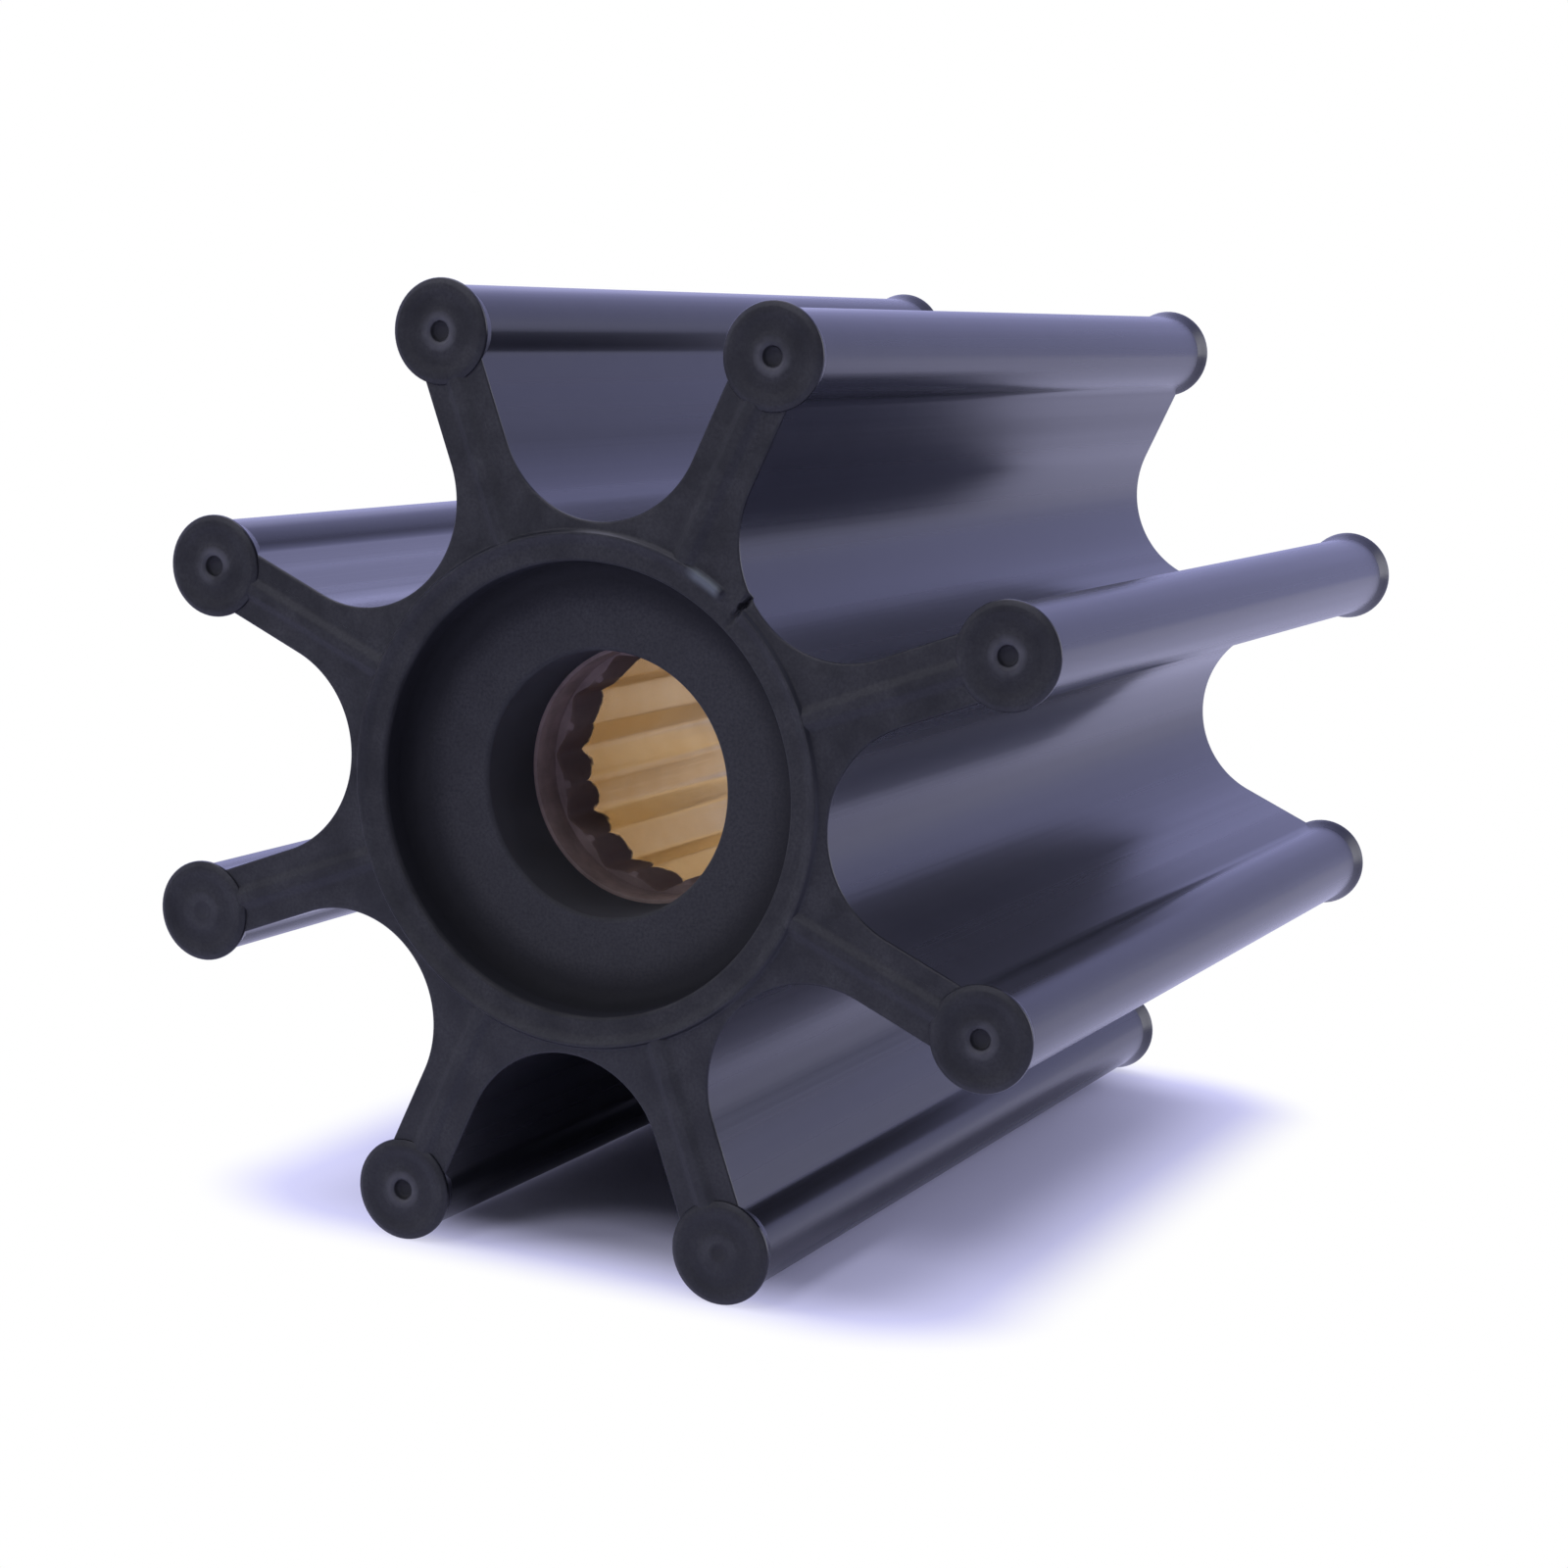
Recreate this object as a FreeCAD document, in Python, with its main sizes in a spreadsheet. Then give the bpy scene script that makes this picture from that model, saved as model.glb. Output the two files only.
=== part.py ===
import FreeCAD
import Part
import math
import os
import re

import Sketcher

# Flexible vane impeller for a marine raw water pump.
# A black rubber star, moulded as one piece, is bonded round a brass bush with internal splines.
# Axis along Y, front end towards -Y, origin on the axis at half the length, millimetres.

# Driving dimensions: name, value, meaning. Lengths in millimetres, angles in degrees.
DIMENSIONS = [
    ("overall_length", 73.0, "front end discs to rear end discs"),
    ("vane_count", 8, "vanes round the hub"),
    ("tip_circle_diameter", 58.5, "circle through the centres of the bulbs"),
    ("bulb_diameter", 5.7, "round bulb that runs along each vane's tip"),
    ("tip_disc_step", 0.4, "disc that ends each bulb stands out from it by this much"),
    ("tip_rim_width", 0.4, "straight rim of the disc"),
    ("flare_length", 2.8, "from the disc's rim until the flare has run into the bulb"),
    ("web_thickness", 4.2, "flat part of each vane"),
    ("neck_radius", 1.2, "fillet between the flat part and the bulb"),
    ("hub_diameter", 32.9, "bottom of the valleys between the vanes"),
    ("end_step", 0.3, "lip and discs stand this far above the end faces of hub and vanes"),
    ("rib_width", 1.5, "bead along the middle of each vane's end face"),
    ("rib_height", 0.25, "bead above the vane's end face"),
    ("lip_margin", 0.65, "valley bottom to the outer wall of the sealing lip round the hub's end"),
    ("lip_width", 0.7, "sealing lip, outer wall to inner foot"),
    ("lip_crest", 0.4, "flat crest of the sealing lip"),
    ("recess_diameter", 28.0, "recess in the hub's end"),
    ("recess_depth", 3.4, "lip's crest to the floor of the recess"),
    ("recess_chamfer", 0.9, "slope between the recess wall and its floor"),
    ("throat_step", 0.25, "opening through the rubber, beyond the bush's plain bore"),
    ("bush_setback", 5.9, "floor of the recess to the end of the bush"),
    ("bush_wall", 3.05, "bottom of the spline grooves to the outside of the bush"),
    ("spline_count", 12, "splines round the bore"),
    ("spline_crest_diameter", 14.4, "circle inside the tips of the splines"),
    ("spline_depth", 0.75, "tip to groove bottom"),
    ("spline_tip_width", 0.2, "flat tip of each spline"),
    ("groove_bottom_width", 0.24, "flat bottom of each groove"),
    ("relief_step", 0.1, "plain bore at each end of the bush, beyond the groove bottoms"),
    ("relief_length", 2.4, "plain bore at each end of the bush"),
    ("pin_hole_diameter", 1.6, "core pin hole in each disc"),
    ("pin_hole_depth", 4.0, "core pin hole, from the disc's face"),
    ("nick_start", 0.4, "nick in the hub's front end, from the recess wall"),
    ("nick_length", 1.9, "nick in the hub's front end, outwards through the lip"),
    ("nick_width", 0.7, "nick in the hub's front end, at its outer end"),
    ("nick_depth", 1.3, "nick in the hub's front end, from the lip's crest"),
    ("nick_angle", 50.5, "place of the nick, from +X towards +Z"),
    ("merge", 0.3, "how far one form reaches into the next where they run together"),
]

# Front discs whose core pin hole is closed by flash, counted from the first vane above +X.
CLOSED_FRONT_HOLES = (4, 6)

# A coordinate closer to zero than this lies on the sketch's axis.
ON_AXIS = 1e-6

ALIASES = {alias for alias, value, meaning in DIMENSIONS}
ORIGIN = FreeCAD.Vector(0, 0, 0)
NORMAL = FreeCAD.Vector(0, 0, 1)

# Lengths that follow from the driving dimensions, as expressions on them.
HALF = "(overall_length / 2)"
VANE_FACE = "(%s - end_step)" % HALF
FLOOR = "(%s - recess_depth)" % HALF
BUSH_END = "(%s - bush_setback)" % FLOOR
TIP = "(tip_circle_diameter / 2)"
BULB = "(bulb_diameter / 2)"
DISC = "(%s + tip_disc_step)" % BULB
HUB = "(hub_diameter / 2)"
LIP = "(%s - lip_margin)" % HUB
RECESS = "(recess_diameter / 2)"
WEB = "(web_thickness / 2)"
CREST = "(spline_crest_diameter / 2)"
GROOVE = "(%s + spline_depth)" % CREST
RELIEF = "(%s + relief_step)" % GROOVE
THROAT = "(%s + throat_step)" % RELIEF
BUSH = "(%s + bush_wall)" % GROOVE
HALF_PITCH = "(180 / vane_count)"


doc = FreeCAD.newDocument("impeller")
sheet = doc.addObject("Spreadsheet::Sheet", "Dimensions")
for row, (alias, value, meaning) in enumerate(DIMENSIONS, start=1):
    sheet.set("A%d" % row, alias)
    sheet.set("B%d" % row, str(value))
    sheet.set("C%d" % row, meaning)
    sheet.setAlias("B%d" % row, alias)
doc.recompute()


def bound(expression):
    """The same expression, with every dimension read from the sheet."""
    def from_sheet(match):
        word = match.group(0)
        return "Dimensions." + word if word in ALIASES else word
    return re.sub(r"[a-z_]+", from_sheet, expression)


def number(expression):
    """The present value of an expression."""
    return float(sheet.evalExpression(bound(expression)))


def origin_part(body, role):
    """One of the body's own origin planes or axes."""
    return next(item for item in body.Origin.OriginFeatures if item.Role == role)


def new_body(label):
    """An empty body with its label."""
    body = doc.addObject("PartDesign::Body", label)
    body.Label = label
    return body


def new_sketch(body, name, role, moves=()):
    """A sketch on an origin plane, moved along the plane's own axes by expressions."""
    sketch = body.newObject("Sketcher::SketchObject", name)
    sketch.AttachmentSupport = [(origin_part(body, role), "")]
    sketch.MapMode = "FlatFace"
    for axis, expression in moves:
        sketch.setExpression("AttachmentOffset.Base." + axis, bound(expression))
    return sketch


def hold(sketch, constraint, expression):
    """Add a constraint whose value follows an expression."""
    index = sketch.addConstraint(constraint)
    sketch.setExpression("Constraints[%d]" % index, bound(expression))


def place_point(sketch, edge, end, x_text, y_text):
    """Fix a point of an edge at two expressions, measured from the sketch's origin."""
    for kind, axis, text in (("DistanceX", -2, x_text), ("DistanceY", -1, y_text)):
        value = number(text)
        if abs(value) < ON_AXIS:
            sketch.addConstraint(Sketcher.Constraint("PointOnObject", edge, end, axis))
        else:
            hold(sketch, Sketcher.Constraint(kind, -1, 1, edge, end, value), text)


def arc_between(start, end, radius, turn):
    """The shorter arc from start to end. turn is 1 where the path bends left, -1 where right."""
    chord = end - start
    left = FreeCAD.Vector(-chord.y, chord.x, 0).normalize()
    rise = math.sqrt(max(radius ** 2 - (chord.Length / 2) ** 2, 0))
    centre = start + chord * 0.5 + left * (turn * rise)
    first, last = (start, end) if turn > 0 else (end, start)
    angles = [math.atan2(point.y - centre.y, point.x - centre.x) for point in (first, last)]
    return Part.ArcOfCircle(Part.Circle(centre, NORMAL, radius), angles[0], angles[1])


def outline(sketch, corners):
    """Draw one closed outline.

    A corner is (x, y), or (x, y, radius, turn) where the edge that leaves it is an arc.
    """
    points = [FreeCAD.Vector(number(corner[0]), number(corner[1]), 0) for corner in corners]
    edges = []
    for corner, here, there in zip(corners, points, points[1:] + points[:1]):
        if len(corner) == 2:
            edges.append((sketch.addGeometry(Part.LineSegment(here, there), False), 1, 2))
            continue
        radius, turn = corner[2:]
        arc = arc_between(here, there, number(radius), turn)
        start, end = (1, 2) if turn > 0 else (2, 1)
        edges.append((sketch.addGeometry(arc, False), start, end))
    for corner, edge, after in zip(corners, edges, edges[1:] + edges[:1]):
        sketch.addConstraint(Sketcher.Constraint("Coincident", edge[0], edge[2], after[0], after[1]))
        place_point(sketch, edge[0], edge[1], corner[0], corner[1])
    for corner, edge in zip(corners, edges):
        if len(corner) > 2:
            hold(sketch, Sketcher.Constraint("Radius", edge[0], number(corner[2])), corner[2])


def turned_over(corners, sign_x=1, sign_y=-1, closing=()):
    """The same run of corners mirrored about one of the sketch's axes and travelled backwards.

    closing is the radius and turn of the edge that leaves the last corner, where it is an arc.
    """
    arcs = [closing] + [corner[2:] for corner in corners[:-1]]
    mirrored = [("%d * %s" % (sign_x, corner[0]), "%d * %s" % (sign_y, corner[1])) for corner in corners]
    return [point + arc for point, arc in zip(mirrored, arcs)][::-1]


def feature(body, kind, name, sketch):
    """A feature of the body that takes its shape from a sketch."""
    item = body.newObject("PartDesign::" + kind, name)
    item.Profile = sketch
    return item


def revolve(body, name, sketch):
    """Turn a profile right round the sketch's vertical axis."""
    item = feature(body, "Revolution", name, sketch)
    item.ReferenceAxis = (sketch, ["V_Axis"])
    return item


def cut(body, name, sketch, depth):
    """Cut a profile in from the sketch's plane."""
    item = feature(body, "Pocket", name, sketch)
    item.setExpression("Length", bound(depth))
    return item


def repeat(body, name, originals, count):
    """Repeat features round the body's Y axis."""
    item = body.newObject("PartDesign::PolarPattern", name)
    item.Originals = originals
    item.Axis = (origin_part(body, "Y_Axis"), [""])
    item.Angle = 360
    item.setExpression("Occurrences", bound(count))
    body.Tip = item
    doc.recompute()
    return item


def hub_section():
    """Half section of the hub, from the bush's seat over the front end to the lip's outer wall."""
    return [
        (BUSH, "-%s" % BUSH_END),
        (THROAT, "-%s" % BUSH_END),
        (THROAT, "-%s" % FLOOR),
        ("(%s - recess_chamfer)" % RECESS, "-%s" % FLOOR),
        (RECESS, "-(%s + recess_chamfer)" % FLOOR),
        (RECESS, "-%s" % VANE_FACE),
        ("(%s - lip_width)" % LIP, "-%s" % VANE_FACE),
        ("(%s - lip_crest)" % LIP, "-%s" % HALF),
        (LIP, "-%s" % HALF),
    ]


def vane_section():
    """One vane across the axis, from the middle of one valley round the tip to the next valley."""
    valley = "((%s * sin(%s) - %s) / (1 - sin(%s)))" % (HUB, HALF_PITCH, WEB, HALF_PITCH)
    root = "(%s - merge)" % LIP
    reach = "sqrt((%s + neck_radius) ^ 2 - (%s + neck_radius) ^ 2)" % (BULB, WEB)
    share = "(%s / (%s + neck_radius))" % (BULB, BULB)
    lower = [
        ("%s * cos(%s)" % (root, HALF_PITCH), "-%s * sin(%s)" % (root, HALF_PITCH)),
        ("%s * cos(%s)" % (HUB, HALF_PITCH), "-%s * sin(%s)" % (HUB, HALF_PITCH), valley, -1),
        ("(%s + %s) * cos(%s)" % (HUB, valley, HALF_PITCH), "-%s" % WEB),
        ("(%s - %s)" % (TIP, reach), "-%s" % WEB, "neck_radius", -1),
        ("(%s - %s * %s)" % (TIP, reach, share), "-(%s + neck_radius) * %s" % (WEB, share), BULB, 1),
    ]
    tip = ("(%s + %s)" % (TIP, BULB), "0", BULB, 1)
    return lower + [tip] + turned_over(lower, closing=(root, -1))


def disc_section():
    """Half section of the disc and flare that end a bulb, front end, round the bulb's axis."""
    rim = "(%s - tip_rim_width)" % HALF
    buried = "(%s - merge)" % BULB
    return [
        ("0", "-%s" % HALF),
        (DISC, "-%s" % HALF),
        (DISC, "-%s" % rim),
        (buried, "-(%s - flare_length)" % rim),
        ("0", "-(%s - flare_length)" % rim),
    ]


def rib_section():
    """Rounded bead on the front end face of a vane."""
    side = "(rib_width / 2)"
    radius = "((%s ^ 2 + rib_height ^ 2) / (2 * rib_height))" % side
    return [
        ("-(%s - merge)" % VANE_FACE, side),
        ("-%s" % VANE_FACE, side, radius, 1),
        ("-%s" % VANE_FACE, "-%s" % side),
        ("-(%s - merge)" % VANE_FACE, "-%s" % side),
    ]


def circles(sketch, vanes, diameter):
    """Equal circles on the bulb axes of the numbered vanes."""
    for vane in vanes:
        angle = "%d * 2 * %s" % (vane, HALF_PITCH)
        x_text = "%s * cos(%s)" % (TIP, angle)
        y_text = "%s * sin(%s)" % (TIP, angle)
        centre = FreeCAD.Vector(number(x_text), number(y_text), 0)
        edge = sketch.addGeometry(Part.Circle(centre, NORMAL, number(diameter) / 2), False)
        place_point(sketch, edge, 3, x_text, y_text)
        hold(sketch, Sketcher.Constraint("Diameter", edge, number(diameter)), diameter)


def nick_section():
    """Wedge shaped nick in the hub's front end, wider at its outer end."""
    angle = "(nick_angle - %s)" % HALF_PITCH
    start = "(%s + nick_start)" % RECESS
    end = "(%s + nick_length)" % start
    along = "%s * cos(%s)" % (end, angle)
    up = "%s * sin(%s)" % (end, angle)
    return [
        ("%s * cos(%s)" % (start, angle), "%s * sin(%s)" % (start, angle)),
        ("(%s + nick_width / 2 * sin(%s))" % (along, angle),
         "(%s - nick_width / 2 * cos(%s))" % (up, angle)),
        ("(%s - nick_width / 2 * sin(%s))" % (along, angle),
         "(%s + nick_width / 2 * cos(%s))" % (up, angle)),
    ]


def add_vanes(body):
    """All vanes, with their end discs and end beads."""
    section = new_sketch(body, "VaneSection", "XZ_Plane")
    outline(section, vane_section())
    vane = feature(body, "Pad", "Vane", section)
    vane.SideType = "Symmetric"
    vane.setExpression("Length", bound("2 * %s" % VANE_FACE))
    doc.recompute()

    profile = new_sketch(body, "DiscSection", "XY_Plane", [("x", TIP)])
    outline(profile, disc_section())
    outline(profile, turned_over(disc_section()))
    discs = revolve(body, "Discs", profile)
    doc.recompute()

    bead = new_sketch(body, "RibSection", "YZ_Plane", [("z", "%s - merge" % LIP)])
    outline(bead, rib_section())
    outline(bead, turned_over(rib_section(), sign_x=-1, sign_y=1))
    ribs = feature(body, "Pad", "Ribs", bead)
    ribs.setExpression("Length", bound("%s - %s - %s + 2 * merge" % (TIP, DISC, LIP)))
    doc.recompute()
    repeat(body, "Vanes", [vane, discs, ribs], "vane_count")


def add_pin_holes(body):
    """Core pin holes in the discs at both ends. Flash has closed some of the front ones."""
    every = range(int(number("vane_count")))
    front_open = [vane for vane in every if vane not in CLOSED_FRONT_HOLES]
    for name, vanes, height in (("FrontHoles", front_open, HALF), ("RearHoles", every, "-" + HALF)):
        sketch = new_sketch(body, name + "Sketch", "XZ_Plane", [("z", height)])
        circles(sketch, vanes, "pin_hole_diameter")
        holes = cut(body, name, sketch, "pin_hole_depth")
        holes.Reversed = name == "RearHoles"
        doc.recompute()


def make_rubber_body():
    """The moulded rubber: hub, vanes and the openings at both ends."""
    body = new_body("rubber_body")
    section = new_sketch(body, "HubSection", "XY_Plane")
    outline(section, hub_section() + turned_over(hub_section()))
    revolve(body, "Hub", section)
    doc.recompute()
    add_vanes(body)
    add_pin_holes(body)
    wedge = new_sketch(body, "NickSection", "XZ_Plane", [("z", HALF)])
    outline(wedge, nick_section())
    cut(body, "Nick", wedge, "nick_depth")
    turn = FreeCAD.Rotation(FreeCAD.Vector(0, -1, 0), number(HALF_PITCH))
    body.Placement = FreeCAD.Placement(ORIGIN, turn)
    return body


def bush_section():
    """Half section of the bush from its middle bore over the front end to the outside."""
    return [
        (CREST, "-(%s - relief_length)" % BUSH_END),
        (RELIEF, "-(%s - relief_length)" % BUSH_END),
        (RELIEF, "-%s" % BUSH_END),
        (BUSH, "-%s" % BUSH_END),
    ]


def groove_section():
    """One groove between two splines, drawn from the axis outwards."""
    tip_share = "(spline_tip_width / 2 / %s * 180 / pi)" % CREST
    edge = "(180 / spline_count - %s)" % tip_share
    return [
        ("0", "0"),
        ("%s * cos(%s)" % (CREST, edge), "-%s * sin(%s)" % (CREST, edge)),
        (GROOVE, "-groove_bottom_width / 2"),
        (GROOVE, "groove_bottom_width / 2"),
        ("%s * cos(%s)" % (CREST, edge), "%s * sin(%s)" % (CREST, edge)),
    ]


def make_splined_bush():
    """The brass bush: a tube with splines along its bore and a plain bore at each end."""
    body = new_body("splined_bush")
    section = new_sketch(body, "BushSection", "XY_Plane")
    outline(section, bush_section() + turned_over(bush_section()))
    revolve(body, "Tube", section)
    doc.recompute()
    profile = new_sketch(body, "GrooveSection", "XZ_Plane")
    outline(profile, groove_section())
    groove = cut(body, "Groove", profile, "2 * %s" % BUSH_END)
    groove.SideType = "Symmetric"
    doc.recompute()
    repeat(body, "Grooves", [groove], "spline_count")
    return body


def check_and_export(bodies):
    """Stop on any feature that failed, then write one file for each body."""
    doc.recompute()
    for item in doc.Objects:
        if "Invalid" in item.State or "Error" in item.State:
            raise RuntimeError("failed feature: %s" % item.Name)
    for body in bodies:
        if body.Shape.isNull() or not body.Shape.isValid() or len(body.Shape.Solids) != 1:
            raise RuntimeError("bad solid: %s" % body.Label)
        body.Shape.exportStep("parts/" + body.Label + ".step")


os.makedirs("parts", exist_ok=True)
check_and_export([make_rubber_body(), make_splined_bush()])
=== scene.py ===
import math

import bmesh
import bpy
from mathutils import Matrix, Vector


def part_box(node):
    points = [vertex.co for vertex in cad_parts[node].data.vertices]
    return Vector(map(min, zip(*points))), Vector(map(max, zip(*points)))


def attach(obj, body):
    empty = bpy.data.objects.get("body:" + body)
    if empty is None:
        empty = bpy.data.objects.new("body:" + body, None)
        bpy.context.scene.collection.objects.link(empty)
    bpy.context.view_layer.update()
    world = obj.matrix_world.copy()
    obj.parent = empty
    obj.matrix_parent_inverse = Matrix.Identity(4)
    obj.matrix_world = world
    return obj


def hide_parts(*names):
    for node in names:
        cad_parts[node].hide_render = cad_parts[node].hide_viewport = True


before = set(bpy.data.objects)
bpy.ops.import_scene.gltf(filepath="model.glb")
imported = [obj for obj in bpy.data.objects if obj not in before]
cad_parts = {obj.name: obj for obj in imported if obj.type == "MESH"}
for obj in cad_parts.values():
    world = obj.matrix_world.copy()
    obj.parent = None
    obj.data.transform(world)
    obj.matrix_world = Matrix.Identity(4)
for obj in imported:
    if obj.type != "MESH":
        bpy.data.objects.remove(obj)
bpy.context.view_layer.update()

# Sizes are in millimetres and angles in degrees, unless a comment says otherwise. MM turns millimetres
# into metres. AXIS is the axis as a point of the XZ plane, and a radius up to ON_AXIS counts as none.
MM = 0.001
BODY_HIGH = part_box("rubber_body")[1] / MM
BUSH_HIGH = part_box("splined_bush")[1] / MM
AXIS = Vector((0, 0))
ON_AXIS = 1e-6

# The rubber star. Its axis is Y and its front end faces -Y. CLOSED_HOLES gives the numbers, from 0, of the
# vanes whose front pin hole is closed over.
VANES = 8
PITCH = 360 / VANES
FIRST_VANE = PITCH / 2
HALF = BODY_HIGH.y
END_STEP = 0.3
FACE = HALF - END_STEP
DISC_R = 3.25
TIP_R = (BODY_HIGH.x - DISC_R) / math.cos(math.radians(FIRST_VANE))
BULB_R = 2.85
WEB = 2.1
NECK_R = 1.2
HUB_R = 16.45
EDGE_R = 0.18
CUP_R = 2.0
CUP_DEPTH = 5.0
CLOSED_HOLES = (4, 6)

# Sealing lip, recess and opening.
LIP_START = 15.05
LIP_TOP_IN = 15.6
LIP_TOP_OUT = 15.74
LIP_END = 15.93
LIP_FOOT_IN_R = 0.5
LIP_TOP_IN_R = 0.2
LIP_TOP_OUT_R = 0.08
LIP_FOOT_OUT_R = 0.18
HUB_FACE_R = 16.1
LAND_R = 14.0
LAND_EDGE_R = 0.22
RECESS = 3.4
RECESS_R = 1.3
THROAT_R = 8.3
THROAT_EDGE_R = 0.35
SEAT_R = BUSH_HIGH.x
SEAT_END = BUSH_HIGH.y

# The nick across the lip, and the stretch of lip torn away beside it.
NICK_ANGLE = 50.5
NICK_START = 14.4
NICK_RUN_IN = 1.2
NICK_HALF = 0.26
NICK_DEPTH = 0.4
NICK_SWAY = 0.06
NICK_SWAY_RATE = 9
TEAR_START = 50.0
TEAR_END = 56.0
TEAR_FADE = 0.7
TORN_SHARE = 0.93
WEAR_DEPTH = 0.5
WEAR_R = HUB_R + 0.8

# End discs and core pin holes. A profile lists corners, as distance from the axis, depth and radius of the
# round.
RIM = 0.38
HOLE_R = 0.64
HOLE_DEPTH = 0.55
HOLE_FLOOR_R = HOLE_R - 0.12
OPEN_MIDDLE = [(0, HOLE_DEPTH, 0), (HOLE_FLOOR_R, HOLE_DEPTH, 0.3), (HOLE_R, 0.14, 0.1), (0.85, 0.05, 0.12)]
CLOSED_MIDDLE = [(0, 0.13, 0), (0.28, 0.13, 0.1), (0.5, 0.06, 0.2), (1.0, 0.05, 0.3)]
DISH = [(1.22, 0.05, 0.3), (1.5, 0.10, 0.5), (2.1, 0.10, 1.0), (2.55, 0.0, 0.8), (2.9, 0.0, 0.25)]
DISC_EDGE = [(DISC_R, 0.2, 0.2), (DISC_R, RIM, 0.04)]
BELOW_RIM = (DISC_R - 0.1, RIM + 0.5, 0)

# The flare from a disc's rim into the bulb, and the stub that goes on from it into the cup.
FLARE_END = 3.2
FLARE_R = 8.0
FLARE_SINK = 0.3
STUB_R = 1.7
STUB_END = CUP_DEPTH - 1

# Beads on the vanes' end faces. SKIN keeps a bead's flat edge just above the end face.
SKIN = 0.004
RIB_HALF = 0.78
RIB_TOP = 0.3
RIB_HEIGHT = 0.26
RIB_SKIRT = 0.3
RIB_FOOT_R = 0.5
RIB_TOP_R = 0.45
RIB_START = LIP_TOP_OUT + 0.02
RIB_END = TIP_R - DISC_R + 0.3

# The bush and its splines. FLAT_SHARE is the flat part at a groove and at a crest, of half a pitch.
SPLINES = 12
CREST_R = 7.2
GROOVE_R = 7.95
FLAT_SHARE = 0.055
RELIEF_R = 8.05
RELIEF_LENGTH = 2.4
SPLINE_START = HALF - SEAT_END + RELIEF_LENGTH
SPLINE_CHAMFER = 0.3
BUSH_CHAMFER = 0.3
MOUTH_CUT = 0.1
MOUTH_MIDDLE = 0.03

# Resolution of curves. Steps are in degrees. Edges sharper than SHARP_ANGLE stay sharp.
ARC_STEP = 7
CORNER_STEP = 14
BULB_STEP = 5
FLARE_STEP = 3
VALLEY_STEP = 1.5
HUB_STEP = 1.40625
NICK_STEP = 0.2
FINE_START = TEAR_START - 4
FINE_END = TEAR_END + 3
EDGE_TILTS = (90, 67.5, 45, 22.5, 0)
SHARP_ANGLE = 38
DISC_SEGMENTS = 60
CUP_SEGMENTS = 30
BUSH_SEGMENTS = SPLINES * 24

# Noises in the materials, as scale per metre and detail. A scale of three numbers draws marks out along Y.
# RISE and FALL are the results of a change from 0 to 1 and from 1 to 0.
STREAKS = ((1500, 2.5, 1500), 2.0)
BROAD_STREAKS = ((330, 2.5, 330), 2.0)
GRAIN = (5200, 2.0)
MOTTLE = (420, 5.0)
BROACH_MARKS = ((2600, 40, 2600), 3.0)
RAGGED = (700, 4.0)
BRASS_TONE = (300, 4.0)
NOISE_ROUGHNESS = 0.55
NOISE_RANGE = (0.3, 0.7)
RISE = (0.0, 1.0)
FALL = (1.0, 0.0)

# Where the rubber's finish, its painted shade and its painted highlight change. Each pair holds the start
# and the end of a soft change. FACE_TILT is the share of a face's direction that lies along the axis, and
# WORN_RANGE belongs to a noise.
FACE_TILT = (0.5, 0.9)
INSIDE_EDGE = (15.0, 15.5)
RECESS_MOUTH = (35.6, 35.9)
CORNER_SHADE_EDGE = (11.2, 13.6)
PIN_EDGE = (0.45, 0.70)
RING_INNER = (0.60, 0.75)
RING_OUTER = (0.95, 1.30)
DISH_INNER = (1.2, 1.7)
DISH_OUTER = (2.1, 2.9)
CLOSED_SECTOR = (15.0, 20.0)
WORN_RANGE = (0.38, 0.62)
SCUFF_HIGHLIGHT_START = (TEAR_END, TEAR_END + 1.5)
SCUFF_HIGHLIGHT_END = (TEAR_END + 7, TEAR_END + 10)
SCUFF_HIGHLIGHT_Y = (-36.2, -36.4)
SCUFF_HIGHLIGHT_EDGE = (16.0, 16.2)

# Rubber colours, pairs of shades that a noise blends, and how strongly each mark shows. The corner and dish
# marks are painted shade, and the scuff mark carries a painted highlight.
SIDE_SHADES = ((0.0040, 0.0041, 0.0050), (0.0070, 0.0072, 0.0088))
END_SHADES = ((0.0150, 0.0150, 0.0154), (0.0310, 0.0310, 0.0318))
RECESS_COLOUR = (0.036, 0.036, 0.038)
RECESS_SHARE = 0.5
# Painted shade: the recess darkens towards its outer wall and corner.
CORNER_SHADE_COLOUR = (0.002, 0.002, 0.0025)
CORNER_SHADE_SHARE = 0.92
SPECKLE_COLOUR = (0.0075, 0.0075, 0.0085)
SPECKLE_SHARE = 0.55
# Painted shade in the discs' shallow dishes.
DISH_SHADE_COLOUR = (0.004, 0.004, 0.005)
DISH_SHADE_SHARE = 0.28
RING_COLOUR = (0.050, 0.050, 0.055)
RING_INNER_SHARE = 0.35
RING_LEAST = 0.15
CLOSED_RING_LOSS = 0.7
PIN_COLOUR = (0.022, 0.022, 0.024)
# Painted highlight, pale and bluish, on the lip's scuffed stretch beside the tear.
SCUFF_HIGHLIGHT_COLOUR = (0.075, 0.086, 0.092)

# The rubber's shine and relief.
SIDE_ROUGHNESS = (0.22, 0.34)
END_ROUGHNESS = (0.54, 0.66)
HIDDEN_ROUGHER = 0.28
RUBBER_IOR = 1.48
SHEEN_WEIGHT = 0.03
SHEEN_ROUGHNESS = 0.45
SHEEN_TINT = (0.66, 0.67, 1.0, 1)
SPECULAR_TINT = (0.90, 0.91, 1.0, 1)
BROAD_WEIGHT = 0.35
GRAIN_WEIGHT = (0.04, 0.6)
RUBBER_BUMP = 0.16
BRASS_BUMP = 0.4
BUMP_DISTANCE = 0.08
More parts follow.
